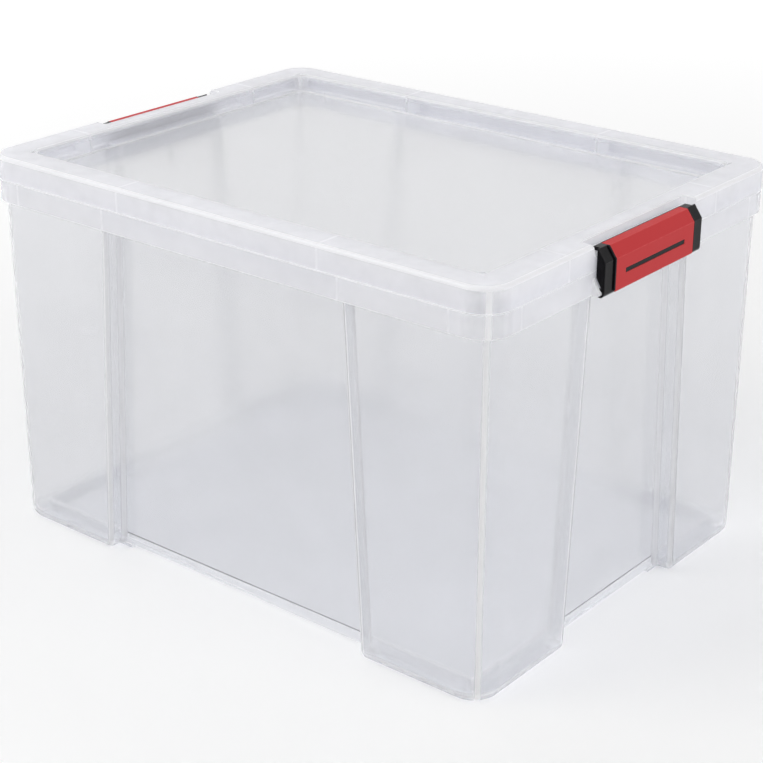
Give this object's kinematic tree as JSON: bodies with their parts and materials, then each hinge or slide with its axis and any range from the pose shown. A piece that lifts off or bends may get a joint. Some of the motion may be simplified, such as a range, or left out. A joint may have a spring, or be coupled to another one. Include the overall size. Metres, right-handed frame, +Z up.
{
  "type": "clip-lid file box",
  "caption": "Translucent file box with hollow corner pillars, a lift-off lid with a sunk panel, and a hinged clip handle at each end.",
  "frame": {"origin": "centre of the footprint at the level of the feet's undersides", "axes": "+Z up, +X along the length towards one of the two clip ends, +Y across the width"},
  "size_m": [0.5176, 0.378, 0.323],
  "materials": {
    "milky_plastic": "smooth, translucent",
    "clear_plastic": "smooth, translucent",
    "black_plastic": "smooth",
    "red_plastic": "satin"
  },
  "bodies": {
    "tub": {"tub": "milky_plastic"},
    "lid": {"lid": "clear_plastic"},
    "clip_right": {"clip_frame_right": "black_plastic", "clip_cover_right": "red_plastic"},
    "clip_left": {"clip_frame_left": "black_plastic", "clip_cover_left": "red_plastic"}
  },
  "joints": [
    {"name": "lid_lift", "type": "slide", "parent": "tub", "child": "lid", "axis": [0, 0, 1], "range_m": [0, 0.022]},
    {"name": "clip_right_hinge", "type": "hinge", "parent": "tub", "child": "clip_right", "pos_m": [0.254, 0, 0.2872], "axis": [0, 1, 0], "range_deg": [0, 120]},
    {"name": "clip_left_hinge", "type": "hinge", "parent": "tub", "child": "clip_left", "pos_m": [-0.254, 0, 0.2872], "axis": [0, -1, 0], "range_deg": [0, 120]}
  ],
  "couplings": [
    {"joint": "clip_right_hinge", "follows": "lid_lift", "rad_per_m": 95.19},
    {"joint": "clip_left_hinge", "follows": "lid_lift", "rad_per_m": 95.19}
  ]
}
